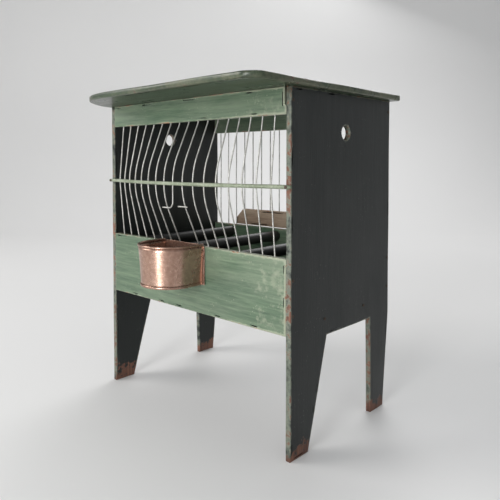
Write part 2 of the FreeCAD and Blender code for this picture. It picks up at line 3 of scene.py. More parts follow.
import bpy
import numpy as np
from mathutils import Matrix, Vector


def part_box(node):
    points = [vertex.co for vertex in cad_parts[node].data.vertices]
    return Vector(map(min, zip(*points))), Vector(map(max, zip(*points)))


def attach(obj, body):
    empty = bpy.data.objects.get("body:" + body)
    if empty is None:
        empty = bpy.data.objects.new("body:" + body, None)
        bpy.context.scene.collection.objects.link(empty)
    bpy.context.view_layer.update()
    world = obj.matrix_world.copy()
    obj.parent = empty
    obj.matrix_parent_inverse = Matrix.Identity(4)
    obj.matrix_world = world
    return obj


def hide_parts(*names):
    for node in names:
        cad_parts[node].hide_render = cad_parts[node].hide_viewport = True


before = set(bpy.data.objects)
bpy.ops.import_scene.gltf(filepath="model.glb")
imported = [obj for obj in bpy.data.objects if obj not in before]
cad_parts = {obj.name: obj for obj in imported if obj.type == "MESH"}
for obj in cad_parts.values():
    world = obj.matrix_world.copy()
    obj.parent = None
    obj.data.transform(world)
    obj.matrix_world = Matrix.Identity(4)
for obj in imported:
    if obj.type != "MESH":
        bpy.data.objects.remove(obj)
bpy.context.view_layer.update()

print("frame loaded")

mm = 0.001
rng = np.random.default_rng(7)  # one seeded source of small hand-made unevenness


def makeObject(name, points, faces, smooth=True, rim=None):
    # points (n, 3) in metres, faces as lists of indices; rim is a 0 to 1 value per point for edge wear
    mesh = bpy.data.meshes.new(name)
    mesh.from_pydata(points.tolist(), [], faces)
    mesh.validate()
    if rim is not None:
        layer = mesh.attributes.new("rim", "FLOAT", "POINT")
        layer.data.foreach_set("value", rim.astype(np.float32))
    mesh.polygons.foreach_set("use_smooth", [smooth] * len(mesh.polygons))
    piece = bpy.data.objects.new(name, mesh)
    bpy.context.scene.collection.objects.link(piece)
    return piece


def gridFaces(rows, columns, closedRow, closedColumn):
    # quads of a (rows, columns) grid whose points are numbered row by row
    r = np.arange(rows if closedRow else rows - 1)[:, None]
    c = np.arange(columns if closedColumn else columns - 1)[None, :]
    r2 = (r + 1) % rows
    c2 = (c + 1) % columns
    quads = np.stack([r * columns + c, r * columns + c2, r2 * columns + c2, r2 * columns + c], axis=-1)
    return quads.reshape(-1, 4).tolist()


def finishPiece(piece, material, body, slot, *nodes):
    # gives the piece its material, its body and the nodes it stands for
    piece.data.materials.append(material)
    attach(piece, body)
    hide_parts(*nodes)
    return piece


def resample(corners, step):
    # a closed outline with points about one step apart along each straight side, corners kept
    out = []
    for start, end in zip(corners, np.roll(corners, -1, axis=0)):
        count = max(1, int(round(np.linalg.norm(end - start) / step)))
        share = np.arange(count)[:, None] / count
        out.append(start + (end - start) * share)
    return np.concatenate(out)


def outwardNormals(outline):
    # mitred outward normals of a counter-clockwise outline: (n1 + n2) / (1 + n1.n2)
    side = np.roll(outline, -1, axis=0) - outline
    side = side / np.linalg.norm(side, axis=1)[:, None]
    after = np.stack([side[:, 1], -side[:, 0]], axis=1)
    before = np.roll(after, 1, axis=0)
    return (after + before) / (1 + np.sum(after * before, axis=1))[:, None]


def stretchOf(first, last, count):
    # the point numbers from first round to last of a closed ring of count points
    return [(first + n) % count for n in range((last - first) % count + 1)]


def slab(name, outline, thick, toWorld, edge, inset, wobble=0.06 * mm, hole=None):
    # a board: its outline offset inwards by edge*(1 - sin a) at depth edge*(1 - cos a), for a from 0 to
    # 90 degrees, rounds the edge of both faces; a further ring, inset from the edge, ends the wear
    normals = outwardNormals(outline)
    count = len(outline)
    along = np.arange(count)
    waves = np.sin(along * 0.9 + rng.uniform(0, 6)) + np.sin(along * 0.37 + rng.uniform(0, 6))
    uneven = wobble * (waves - 2) / 2
    soft = edge * (1 + 0.35 * np.sin(along * 0.51 + rng.uniform(0, 6)))
    angles = np.radians([0, 22.5, 45, 67.5, 90])
    front = [(inset, np.zeros(count), 0.0)]
    front += [(soft * (1 - math.sin(a)), soft * (1 - math.cos(a)), 1.0) for a in angles]
    rings = front + [(offset, thick - depth, worn) for offset, depth, worn in reversed(front)]
    layers = []
    worn = []
    for offset, depth, wear in rings:
        flat = outline + normals * (uneven - offset)[:, None]
        layers.append(np.column_stack([flat, np.broadcast_to(depth, count)]))
        worn.append(np.full(count, wear))
    points = np.concatenate(layers)
    rim = np.concatenate(worn)
    faces = gridFaces(len(rings), count, False, True)
    last = (len(rings) - 1) * count
    if hole is None:
        faces.append(list(range(count)))
        faces.append([last + n for n in reversed(range(count))])
    else:
        # the finger hole: a round wall, and each face split into two along the hole's level
        centre, radius, leftCut, rightCut = hole
        steps = 40
        turn = np.arange(steps) * 2 * math.pi / steps
        ringStart = len(points)
        bore = [(2.4 * mm, 0.0, 0), (0.5 * mm, 0.0, 1), (0.15 * mm, 0.15 * mm, 1), (0.0, 0.5 * mm, 1)]
        bore = bore + [(grow, thick - depth, worn) for grow, depth, worn in reversed(bore)]
        walls = [
            np.column_stack(
                [
                    centre[0] + (radius + grow) * np.cos(turn),
                    centre[1] + (radius + grow) * np.sin(turn),
                    np.full(steps, depth),
                ]
            )
            for grow, depth, _ in bore
        ]
        points = np.concatenate([points] + walls)
        rim = np.concatenate([rim, np.repeat([wear for _, _, wear in bore], steps)])
        wallFaces = gridFaces(len(bore), steps, False, True)
        faces += [[ringStart + n for n in reversed(quad)] for quad in wallFaces]
        lastWall = ringStart + (len(bore) - 1) * steps
        for base, wallBase, flip in ((0, ringStart, False), (last, lastWall, True)):
            upperFace = [base + n for n in stretchOf(rightCut, leftCut, count)]
            upperFace += [wallBase + n for n in range(steps // 2, -1, -1)]
            lowerFace = [base + n for n in stretchOf(leftCut, rightCut, count)]
            lowerFace += [wallBase + n % steps for n in range(steps, steps // 2 - 1, -1)]
            for loop in (upperFace, lowerFace):
                faces.append(loop[::-1] if flip else loop)
    piece = makeObject(name, toWorld(points), faces, True, rim)
    piece.data.polygons.foreach_set("use_smooth", [len(face) == 4 for face in faces])
    return piece


def tube(name, path, normal, radius, sides=14):
    # a round bar: centre(s) + radius*(cos a * normal + sin a * (tangent x normal)), its ends eased and
    # closed; normal is one direction, or one for each point of the path
    tangent = np.gradient(path, axis=0)
    tangent = tangent / np.linalg.norm(tangent, axis=1)[:, None]
    normal = np.broadcast_to(np.asarray(normal, float), path.shape)
    side = np.cross(tangent, normal)
    turn = np.arange(sides) * 2 * math.pi / sides
    cosine = np.cos(turn)[None, :, None]
    sine = np.sin(turn)[None, :, None]
    around = cosine * normal[:, None, :] + sine * side[:, None, :]
    radii = np.broadcast_to(radius, len(path)).astype(float)
    radii[[0, -1]] *= 0.8
    rings = path[:, None, :] + around * radii[:, None, None]
    points = np.concatenate([rings.reshape(-1, 3), path[:1], path[-1:]])
    faces = gridFaces(len(path), sides, False, True)
    first = len(path) * sides
    lastRow = (len(path) - 1) * sides
    faces += [[first, (n + 1) % sides, n] for n in range(sides)]
    faces += [[first + 1, lastRow + n, lastRow + (n + 1) % sides] for n in range(sides)]
    return makeObject(name, points, faces)


def roundFronted(profile, centre, straight, steps=56, dent=0.0):
    # a closed (radius, height) section carried straight forward, half round the front and straight
    # back: x = cx + r cos a, y = cy - run - r sin a, with a at 0 or 180 degrees on the straight sides
    side = 8
    turn = np.concatenate([np.zeros(side), np.linspace(0, math.pi, steps), np.full(side, math.pi)])
    forward = np.linspace(0, straight, side, endpoint=False)
    run = np.concatenate([forward, np.full(steps, straight), forward[::-1]])
    shape = 1 + dent * np.sin(3 * turn + 0.6) * np.sin(turn)
    radius = profile[:, 0][None, :] * shape[:, None]
    points = np.stack(
        [
            centre[0] + radius * np.cos(turn)[:, None],
            centre[1] - run[:, None] - radius * np.sin(turn)[:, None],
            np.broadcast_to(centre[2] + profile[:, 1], radius.shape),
        ],
        axis=-1,
    )
    count = len(profile)
    faces = gridFaces(len(turn), count, False, True)
    last = (len(turn) - 1) * count
    faces.append([n for n in reversed(range(count))])
    faces.append([last + n for n in range(count)])
    return points.reshape(-1, 3), faces


def newGroup(name, inputs, outputs):
    # an empty node group with the named inputs and outputs
    group = bpy.data.node_groups.new(name, "ShaderNodeTree")
    for label, kind, default in inputs:
        socket = group.interface.new_socket(label, in_out="INPUT", socket_type=kind)
        if default is not None:
            socket.default_value = default
    for label, kind in outputs:
        group.interface.new_socket(label, in_out="OUTPUT", socket_type=kind)
    start = group.nodes.new("NodeGroupInput")
    end = group.nodes.new("NodeGroupOutput")
    return group, start, end


def node(tree, kind, settings=None, **links):
    # adds a node; links give sockets by name, as another socket or a plain value
    new = tree.nodes.new(kind)
    for key, setting in (settings or {}).items():
        setattr(new, key, setting)
    for key, source in links.items():
        label = key.replace("_", " ")
        socket = new.inputs[int(key[1:])] if key[0] == "i" and key[1:].isdigit() else new.inputs[label]
        if isinstance(source, bpy.types.NodeSocket):
            tree.links.new(source, socket)
        else:
            socket.default_value = source
    return new


def maths(tree, operation, a, b=0.0, clamp=False):
    # one sum of a and b
    return node(tree, "ShaderNodeMath", {"operation": operation, "use_clamp": clamp}, i0=a, i1=b).outputs[0]


def remap(tree, source, low, high, toLow=0.0, toHigh=1.0):
    # low to high carried straight to toLow to toHigh
    new = node(
        tree, "ShaderNodeMapRange", None,
        Value=source, From_Min=low, From_Max=high, To_Min=toLow, To_Max=toHigh,
    )
    return new.outputs[0]


def noise(tree, vector, scale, detail=4.0, roughness=0.55):
    # layered noise from 0 to 1, finer as the scale grows
    links = {"Vector": vector, "Scale": scale, "Detail": detail, "Roughness": roughness}
    new = node(tree, "ShaderNodeTexNoise", None, **links)
    return new.outputs["Fac"]


def mixColour(tree, factor, a, b):
    # a * (1 - factor) + b * factor
    new = tree.nodes.new("ShaderNodeMix")
    new.data_type = "RGBA"
    for socket, source in ((new.inputs[0], factor), (new.inputs[6], a), (new.inputs[7], b)):
        if isinstance(source, bpy.types.NodeSocket):
            tree.links.new(source, socket)
        else:
            socket.default_value = source
    return new.outputs[2]


def buildGrain():
    # brush marks and grain along one axis: stretched noise at three widths, plus raised specks
    group, start, end = newGroup(
        "brushGrain",
        [("Vector", "NodeSocketVector", None), ("Along", "NodeSocketVector", (1.0, 1.0, 1.0))],
        [("Streak", "NodeSocketFloat"), ("Patch", "NodeSocketFloat"), ("Speck", "NodeSocketFloat")],
    )
    place = node(
        group, "ShaderNodeVectorMath", {"operation": "MULTIPLY"},
        i0=start.outputs[0], i1=start.outputs[1],
    )
    fine = noise(group, place.outputs[0], 720.0, 6.0, 0.7)
    wide = noise(group, place.outputs[0], 170.0, 4.0, 0.55)
    streak = maths(group, "ADD", maths(group, "MULTIPLY", fine, 0.6), maths(group, "MULTIPLY", wide, 0.4))
    drawn = node(
        group, "ShaderNodeVectorMath", {"operation": "MULTIPLY_ADD"},
        i0=start.outputs[1], i1=(0.8, 0.8, 0.8),
    )
    drawn.inputs[2].default_value = (0.2, 0.2, 0.2)
    blot = node(
        group, "ShaderNodeVectorMath", {"operation": "MULTIPLY"},
        i0=start.outputs[0], i1=drawn.outputs[0],
    )
    patch = noise(group, blot.outputs[0], 30.0, 6.0, 0.65)
    cells = node(group, "ShaderNodeTexVoronoi", {"feature": "F1"}, Vector=start.outputs[0], Scale=330.0)
    gate = remap(group, noise(group, start.outputs[0], 60.0, 2.0), 0.5, 0.62)
    dots = remap(group, cells.outputs["Distance"], 0.2, 0.1)
    group.links.new(streak, end.inputs[0])
    group.links.new(patch, end.inputs[1])
    group.links.new(maths(group, "MULTIPLY", dots, gate), end.inputs[2])
    return group


def buildWear():
    # worn arrises: the rim value of the mesh, broken up by noise, and worn feet by height
    group, start, end = newGroup(
        "edgeWear",
        [
            ("Vector", "NodeSocketVector", None),
            ("Rim", "NodeSocketFloat", 0.0),
            ("Amount", "NodeSocketFloat", 0.5),
            ("Extra", "NodeSocketFloat", 0.0),
            ("Foot Height", "NodeSocketFloat", 0.0),
        ],
        [("Rubbed", "NodeSocketFloat"), ("Bare", "NodeSocketFloat")],
    )
    rough = noise(group, start.outputs[0], 190.0, 6.0, 0.7)
    broad = noise(group, start.outputs[0], 38.0, 3.0, 0.6)
    both = maths(group, "ADD", maths(group, "MULTIPLY", rough, 0.55), maths(group, "MULTIPLY", broad, 0.45))
    reach = maths(group, "MULTIPLY", start.outputs[1], start.outputs[2])
    push = maths(group, "ADD", maths(group, "MULTIPLY", reach, 0.6), start.outputs["Extra"])
    rubbed = remap(group, maths(group, "ADD", both, push), 0.68, 0.84)
    edgeBare = remap(group, maths(group, "ADD", both, maths(group, "MULTIPLY", reach, 0.5)), 0.76, 0.81)
    height = node(group, "ShaderNodeSeparateXYZ", None, i0=start.outputs[0]).outputs[2]
    ragged = remap(group, both, 0.4, 0.64)
    above = maths(group, "SUBTRACT", height, maths(group, "MULTIPLY", ragged, start.outputs["Foot Height"]))
    footBare = remap(group, above, 0.001, -0.002)
    group.links.new(rubbed, end.inputs[0])
    group.links.new(maths(group, "MAXIMUM", edgeBare, footBare), end.inputs[1])
    return group


def buildTarnish():
    # blotches on bare metal at two sizes
    group, start, end = newGroup(
        "tarnish",
        [("Vector", "NodeSocketVector", None), ("Scale", "NodeSocketFloat", 60.0)],
        [("Blotch", "NodeSocketFloat"), ("Pits", "NodeSocketFloat")],
    )
    large = noise(group, start.outputs[0], start.outputs[1], 6.0, 0.65)
    small = noise(group, start.outputs[0], maths(group, "MULTIPLY", start.outputs[1], 9.0), 4.0, 0.6)
    mixed = maths(group, "ADD", maths(group, "MULTIPLY", large, 0.7), maths(group, "MULTIPLY", small, 0.3))
    group.links.new(remap(group, mixed, 0.35, 0.65), end.inputs[0])
    group.links.new(remap(group, small, 0.3, 0.7), end.inputs[1])
    return group


grainGroup = buildGrain()
wearGroup = buildWear()
tarnishGroup = buildTarnish()


def newMaterial(name, viewport):
    # a material with one surface shader, placed by the object coordinates
    material = bpy.data.materials.new(name)
    material.use_nodes = True
    material.diffuse_color = (*viewport, 1.0)
    tree = material.node_tree
    shader = tree.nodes["Principled BSDF"]
    place = tree.nodes.new("ShaderNodeTexCoord").outputs["Object"]
    return material, tree, shader, place


def useGroup(tree, group, **links):
    # places a node group; links are its inputs by name
    new = tree.nodes.new("ShaderNodeGroup")
    new.node_tree = group
    for label, source in links.items():
        socket = new.inputs[label.replace("_", " ")]
        if isinstance(source, bpy.types.NodeSocket):
            tree.links.new(source, socket)
        else:
            socket.default_value = source
    return new.outputs


def addBump(tree, shader, height, strength, distance):
    # tilts the shading by the slope of the height, without moving the surface
    bump = node(tree, "ShaderNodeBump", None, Height=height, Strength=strength, Distance=distance)
    tree.links.new(bump.outputs[0], shader.inputs["Normal"])


def paintedWood(name, look):
    # brushed paint over wood: base and deep tones by streak and patch, rubbed pale tone, bare wood
    material, tree, shader, place = newMaterial(name, look["paint"])
    grain = useGroup(tree, grainGroup, Vector=place, Along=look["along"])
    rim = node(tree, "ShaderNodeAttribute", {"attribute_name": "rim"}).outputs["Fac"]
    spot = node(tree, "ShaderNodeSeparateXYZ", None, i0=place)
    extra = remap(tree, spot.outputs[0], 0.02, 0.12, 0.0, look["rightWear"])
    wear = useGroup(
        tree,
        wearGroup,
        Vector=place,
        Rim=rim,
        Amount=look["wear"],
        Extra=extra,
        Foot_Height=look["footHeight"],
    )
    streak = remap(tree, grain["Streak"], 0.36, 0.64)
    tone = mixColour(tree, streak, (*look["deep"], 1), (*look["paint"], 1))
    patch = remap(tree, grain["Patch"], 0.42, 0.66, 0.0, look["patch"])
    tone = mixColour(tree, patch, tone, (*look["faded"], 1))
    # painted shade: the colour is darkened towards the bottom, fully below 0.11 m and fading out by 0.2 m
    paintedLowShade = remap(tree, spot.outputs[2], 0.11, 0.2, look["lowShadeAmount"], 0.0)
    tone = mixColour(tree, paintedLowShade, tone, (*look["lowShadeColour"], 1))
    speck = maths(tree, "MULTIPLY", grain["Speck"], look["speck"])
    tone = mixColour(tree, speck, tone, (*look["rubbed"], 1))
    tone = mixColour(tree, maths(tree, "MULTIPLY", wear["Rubbed"], look["rub"]), tone, (*look["rubbed"], 1))
    wood = mixColour(tree, streak, (*look["woodDark"], 1), (*look["wood"], 1))
    tone = mixColour(tree, wear["Bare"], tone, wood)
    tree.links.new(tone, shader.inputs["Base Color"])
    gloss = remap(tree, grain["Patch"], 0.3, 0.7, look["roughLow"], look["roughHigh"])
    gloss = maths(tree, "ADD", gloss, maths(tree, "MULTIPLY", wear["Bare"], 0.25), True)
    tree.links.new(gloss, shader.inputs["Roughness"])
    height = maths(tree, "SUBTRACT", grain["Streak"], maths(tree, "MULTIPLY", wear["Bare"], 0.6))
    height = maths(tree, "ADD", height, maths(tree, "MULTIPLY", grain["Speck"], 0.5))
    addBump(tree, shader, height, look["bump"], 0.0005)
    return material


alongX = (0.05, 1.0, 1.0)
alongY = (1.0, 0.05, 1.0)
alongZ = (1.0, 1.0, 0.05)

greenLook = {
    "paint": (0.140, 0.200, 0.124),
    "deep": (0.044, 0.082, 0.050),
    "faded": (0.215, 0.255, 0.180),
    "rubbed": (0.330, 0.345, 0.255),
    "wood": (0.400, 0.205, 0.125),
    "woodDark": (0.170, 0.080, 0.050),
    "along": alongX,
    "wear": 0.45,
    "rub": 0.7,
    "patch": 0.6,
    "speck": 0.6,
    "footHeight": 0.0,
    "rightWear": 0.2,
    "lowShadeAmount": 0.0,
    "lowShadeColour": (0.003, 0.006, 0.005),
    "roughLow": 0.34,
    "roughHigh": 0.56,
    "bump": 0.5,
}
green = paintedWood("greenPaint", greenLook)
# the side boards' and floor's dark paint: its tones are darkened further as painted shade for faces the
# lamps barely light, and a painted shade also darkens the side boards towards the bottom
sideLook = {
    **greenLook,
    "paint": (0.019, 0.021, 0.020),
    "deep": (0.006, 0.009, 0.008),
    "faded": (0.034, 0.037, 0.035),
    "rubbed": (0.250, 0.280, 0.215),
    "wood": (0.230, 0.100, 0.060),
    "woodDark": (0.060, 0.030, 0.022),
    "along": alongZ,
    "wear": 0.5,
    "rub": 0.7,
    "patch": 0.55,
    "speck": 0.12,
    "footHeight": 0.02,
    "rightWear": 0.0,
    "lowShadeAmount": 0.85,
    "roughLow": 0.3,
    "roughHigh": 0.5,
    "bump": 0.5,
}
darkPaintAndShade = paintedWood("darkPaintAndPaintedShade", sideLook)
roofLook = {
    **greenLook,
    "paint": (0.046, 0.072, 0.040),
    "deep": (0.016, 0.026, 0.017),
    "faded": (0.080, 0.096, 0.052),
    "rubbed": (0.140, 0.140, 0.090),
    "rightWear": 0.08,
    "wood": (0.150, 0.080, 0.055),
    "woodDark": (0.060, 0.035, 0.028),
    "wear": 0.35,
    "rub": 0.6,
    "roughLow": 0.2,
    "roughHigh": 0.42,
}
roofPaint = paintedWood("roofPaint", roofLook)
perchLook = {
    **sideLook,
    "paint": (0.026, 0.026, 0.025),
    "deep": (0.010, 0.010, 0.010),
    "faded": (0.060, 0.058, 0.052),
    "rubbed": (0.120, 0.105, 0.085),
    "along": alongY,
    "wear": 0.3,
    "footHeight": 0.0,
    "lowShadeAmount": 0.0,
    "roughLow": 0.35,
    "roughHigh": 0.6,
}
perchPaint = paintedWood("perchPaint", perchLook)
bareLook = {
    **greenLook,
    "paint": (0.400, 0.290, 0.205),
    "deep": (0.190, 0.125, 0.085),
    "faded": (0.460, 0.370, 0.270),
    "rubbed": (0.340, 0.260, 0.190),
    "wear": 0.4,
    "rightWear": 0.0,
    "patch": 0.7,
    "roughLow": 0.6,
    "roughHigh": 0.8,
    "bump": 0.8,
}
bareWood = paintedWood("bareWood", bareLook)


def metalFinish(name, look):
    # drawn or sheet metal, darkened in blotches
    material, tree, shader, place = newMaterial(name, look["clean"])
    stain = useGroup(tree, tarnishGroup, Vector=place, Scale=look["scale"])
    tone = mixColour(tree, stain["Blotch"], (*look["clean"], 1), (*look["stained"], 1))
    tone = mixColour(tree, maths(tree, "MULTIPLY", stain["Pits"], look["pits"]), tone, (*look["pitted"], 1))
    tree.links.new(tone, shader.inputs["Base Color"])
    shader.inputs["Metallic"].default_value = look["metallic"]
    rough = remap(tree, stain["Blotch"], 0.0, 1.0, look["roughLow"], look["roughHigh"])
    tree.links.new(rough, shader.inputs["Roughness"])
    addBump(tree, shader, stain["Pits"], look["bump"], 0.0002)
    return material


wireLook = {
    "clean": (0.66, 0.66, 0.63),
    "stained": (0.34, 0.34, 0.31),
    "pitted": (0.16, 0.12, 0.09),
    "pits": 0.35,
    "scale": 160.0,
    "metallic": 0.55,
    "roughLow": 0.28,
    "roughHigh": 0.5,
    "bump": 0.4,
}
wireMetal = metalFinish("wireSteel", wireLook)
barMetal = metalFinish(
    "paintedBar",
    {
        **wireLook,
        "clean": (0.36, 0.40, 0.30),
        "stained": (0.17, 0.21, 0.13),
        "pitted": (0.10, 0.09, 0.07),
        "pits": 0.4,
        "metallic": 0.0,
        "scale": 60.0,
        "roughLow": 0.45,
        "roughHigh": 0.6,
    },
)
cupMetal = metalFinish(
    "cupTin",
    {
        "clean": (0.56, 0.38, 0.30),
        "stained": (0.36, 0.215, 0.160),
        "pitted": (0.22, 0.120, 0.085),
        "pits": 0.45,
        "scale": 34.0,
        "metallic": 0.85,
        "roughLow": 0.24,
        "roughHigh": 0.32,
        "bump": 0.08,
    },
)
ironMetal = metalFinish(
    "nailIron",
    {
        **wireLook,
        "clean": (0.10, 0.09, 0.08),
        "stained": (0.09, 0.05, 0.03),
        "pitted": (0.03, 0.025, 0.02),
        "metallic": 0.6,
        "roughLow": 0.5,
        "roughHigh": 0.75,
    },
)
print("finishes made")


boardLook = {
    "edge": 0.6 * mm,
    "inset": 2.4 * mm,
    "step": 9 * mm,
    "roofEdge": 1.9 * mm,
}


def standing(low, axis):
    # maps a slab made in (across, up, depth) to the cage: across X or Y, up Z, depth along the other
    if axis == "y":
        return lambda p: np.column_stack([low[0] + p[:, 0], low[1] + p[:, 2], low[2] + p[:, 1]])
    return lambda p: np.column_stack([low[0] + p[:, 2], low[1] + p[:, 0], low[2] + p[:, 1]])


def straightBoard(name, material, slot, body="cage", clip=0.0, shrink=0.0):
    # a rail or lower board that fills its frame box, with clipped upper corners where asked; shrink draws
    # the upper part of the right end back from the side board
    low, high = (np.array(corner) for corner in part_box(name))
    width, depth, height = high - low
    corners = [(0, 0), (width, 0), (width, height - clip)]
    if clip:
        corners += [(width - clip, height), (clip, height)]
    corners += [(0, height - clip)] if clip else [(0, height)]
    if shrink:
        drawnBack = [(width - shrink, height * 0.36), (width - shrink, height)]
        corners[1:3] = [(width, 0), (width, height * 0.3)] + drawnBack
    outline = resample(np.array(corners, float), boardLook["step"])
    piece = slab(
        "visual_" + name, outline, depth, standing(low, "y"), boardLook["edge"], boardLook["inset"]
    )
    return finishPiece(piece, material, body, slot, name)


straightBoard("front_top_rail", green, "green_paint", shrink=1.6 * mm)
for name in ("front_lower_board", "back_top_rail", "back_lower_board"):
    straightBoard(name, green, "green_paint")
straightBoard("door_bar", bareWood, "bare_wood", "rear_door", clip=12 * mm)

sideShape = {
    "archTop": 92 * mm,
    "frontLegTop": 50 * mm,
    "frontLegFoot": 23.6 * mm,
    "backLegTop": 34.7 * mm,
    "backLegInner": 32.2 * mm,
    "backLegTaper": 9 * mm,
    "holeRadius": 6.5 * mm,
    "holeLevel": 266 * mm,
}


def sideBoard(name):
    # one plank: two tapered legs under an arch, and a finger hole through it
    shape = sideShape
    low, high = (np.array(corner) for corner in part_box(name))
    depth, width, height = high - low
    corners = np.array(
        [
            (0, 0),
            (shape["frontLegFoot"], 0),
            (shape["frontLegTop"], shape["archTop"]),
            (width - shape["backLegTop"], shape["archTop"]),
            (width - shape["backLegInner"], 0),
            (width - shape["backLegTaper"], 0),
            (width, shape["archTop"]),
            (width, shape["holeLevel"]),
            (width, height),
            (0, height),
            (0, shape["holeLevel"]),
        ]
    )
    outline = resample(corners, boardLook["step"])
    atLevel = np.abs(outline[:, 1] - shape["holeLevel"]) < 1e-6
    rightCut = int(np.where(atLevel & (outline[:, 0] > width / 2))[0][0])
    leftCut = int(np.where(atLevel & (outline[:, 0] < width / 2))[0][0])
    hole = ((width / 2, shape["holeLevel"]), shape["holeRadius"], leftCut, rightCut)
    piece = slab(
        "visual_" + name, outline, depth, standing(low, "x"), 0.6 * mm, boardLook["inset"], hole=hole
    )
    return finishPiece(piece, darkPaintAndShade, "cage", "side_paint", name)


for name in ("side_board_left", "side_board_right"):
    sideBoard(name)

roofShape = {"leftRadius": 76 * mm, "rightRadius": 14 * mm, "backRadius": 5 * mm}


def roofBoard():
    # straight sides joined by quarter circles of four radii, then the rounded arris all round
    low, high = (np.array(corner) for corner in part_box("roof_board"))
    width, depth, thick = high - low
    spots = [
        (width - roofShape["rightRadius"], roofShape["rightRadius"], roofShape["rightRadius"], 270),
        (width - roofShape["backRadius"], depth - roofShape["backRadius"], roofShape["backRadius"], 0),
        (roofShape["backRadius"], depth - roofShape["backRadius"], roofShape["backRadius"], 90),
        (roofShape["leftRadius"], roofShape["leftRadius"], roofShape["leftRadius"], 180),
    ]
    rounds = []
    for x, y, radius, start in spots:
        turn = np.radians(np.linspace(start, start + 90, 6 + int(radius / (3 * mm))))
        rounds.append(np.column_stack([x + radius * np.cos(turn), y + radius * np.sin(turn)]))
    outline = resample(np.concatenate(rounds), boardLook["step"])
    edge = boardLook["roofEdge"]
    piece = slab("visual_roof_board", outline, thick, lambda p: low + p, edge, 5 * mm, 0.1 * mm)
    return finishPiece(piece, roofPaint, "cage", "roof_paint", "roof_board")


roofBoard()


def floorBoard():
    # a plain rectangle in plan, its edges rounded by the slab
    low, high = (np.array(corner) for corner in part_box("floor_board"))
    width, depth, thick = high - low
    outline = resample(np.array([(0, 0), (width, 0), (width, depth), (0, depth)], float), boardLook["step"])
    piece = slab("visual_floor_board", outline, thick, lambda p: low + p, 0.3 * mm, 3 * mm, 0.0)
    return finishPiece(piece, darkPaintAndShade, "cage", "side_paint", "floor_board")


floorBoard()
print("boards made")


def perch(name):
    # a dowel whose radius wanders by a few hundredths, with eased ends inside its sockets
    low, high = (np.array(corner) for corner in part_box(name))
    radius = (high[0] - low[0]) / 2
    centre = (low + high) / 2
    along = np.linspace(low[1], high[1], 60)
    path = np.column_stack([np.full(60, centre[0]), along, np.full(60, centre[2])])
    wander = radius * (1 - 0.012 - 0.012 * np.sin(along * 130 + rng.uniform(0, 6)))
    piece = tube("visual_" + name, path, (0, 0, 1), wander, 28)
    return finishPiece(piece, perchPaint, "cage", "black_wood", name)


for name in ("perch_left", "perch_middle", "perch_right"):
    perch(name)

wireShape = {
    "radius": 0.65 * mm,
    "seat": 8 * mm,
    "bendRadius": 6 * mm,
    "bowRadius": 62 * mm,
    "sides": 12,
    "hookRadius": 5.5 * mm,
    "hookTail": 9.5 * mm,
}


def bendPath(start, heading, moves, spacing=0.9 * mm):
    # a flat path as points: a run advances by its length; a bend (radius, angle) follows
    # centre + radius*(cos, sin) from the present heading, a positive angle turning left
    points = [np.array([start])]
    here = np.array(start, float)
    facing = heading
    for move in moves:
        if isinstance(move, tuple):
            radius, angle = move
            sign = math.copysign(1, angle)
            centre = here + radius * np.array([-math.sin(facing), math.cos(facing)]) * sign
            count = max(4, int(radius * abs(angle) / spacing))
            turn = facing + angle * np.linspace(0, 1, count + 1)[1:]
            arc = centre + radius * sign * np.column_stack([np.sin(turn), -np.cos(turn)])
            points.append(arc)
            facing += angle
        else:
            count = max(2, int(move / (4 * spacing)))
            step = np.linspace(0, move, count + 1)[1:, None]
            points.append(here + step * np.array([math.cos(facing), math.sin(facing)]))
        here = points[-1][-1]
    return np.concatenate(points)


def frontWires():
    # each wire lies in its own upright plane: with R both radii added, h the open height, b the bow and
    # t the tangent of half the lean, (2R - b) t^2 - h t + b = 0
    shape = wireShape
    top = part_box("front_top_rail")[0].z
    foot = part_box("front_lower_board")[1].z
    openHeight = top - foot
    for number in range(1, 18):
        name = f"front_wire_{number:02d}"
        low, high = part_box(name)
        x = high.x - shape["radius"]
        line = high.y - shape["radius"]
        bow = (high.y - low.y) - 2 * shape["radius"]
        reach = 2 * (shape["bendRadius"] + shape["bowRadius"]) - bow
        lean = 2 * math.atan((openHeight - math.sqrt(openHeight**2 - 4 * bow * reach)) / (2 * reach))
        both = shape["bendRadius"] + shape["bowRadius"]
        run = (openHeight / 2 - both * math.sin(lean)) / math.cos(lean)
        half = [shape["seat"], (shape["bendRadius"], -lean), run]
        down = -math.pi / 2
        if number == 9:
            flat = bendPath((0, 0), down, half + [(shape["bowRadius"], lean)])
            drop = top + shape["seat"] + flat[-1][1] - low.z - shape["radius"] - shape["hookRadius"]
            straight = np.linspace(0, drop, 10)[1:]
            height = top + shape["seat"] + flat[:, 1]
            path = np.column_stack([np.full(len(flat), x), line + flat[:, 0], height])
            below = np.column_stack([np.full(9, x), np.full(9, path[-1, 1]), path[-1, 2] - straight])
            turned = [(shape["hookRadius"], -math.pi / 2), shape["hookTail"]]
            hook = bendPath((x, below[-1, 2]), down, turned, 0.4 * mm)
            hook = np.column_stack([hook[1:, 0], np.full(len(hook) - 1, path[-1, 1]), hook[1:, 1]])
            piece = hookedWire("visual_" + name, np.concatenate([path, below]), hook, shape)
        else:
            turned = [(shape["bowRadius"], 2 * lean), run, (shape["bendRadius"], -lean), shape["seat"]]
            flat = bendPath((0, 0), down, half + turned)
            share = (top - (top + shape["seat"] + flat[:, 1])) / openHeight
            stray = np.where((share > 0) & (share < 1), np.sin(share * math.pi) ** 2, 0.0)
            sway = rng.uniform(-0.3, 0.3) * mm * stray * np.cos(share * 7 + rng.uniform(0, 3))
            path = np.column_stack([x + sway, line + flat[:, 0], top + shape["seat"] + flat[:, 1]])
            piece = tube("visual_" + name, path, (1, 0, 0), shape["radius"], shape["sides"])
        finishPiece(piece, wireMetal, "cage", "steel_wire", name)


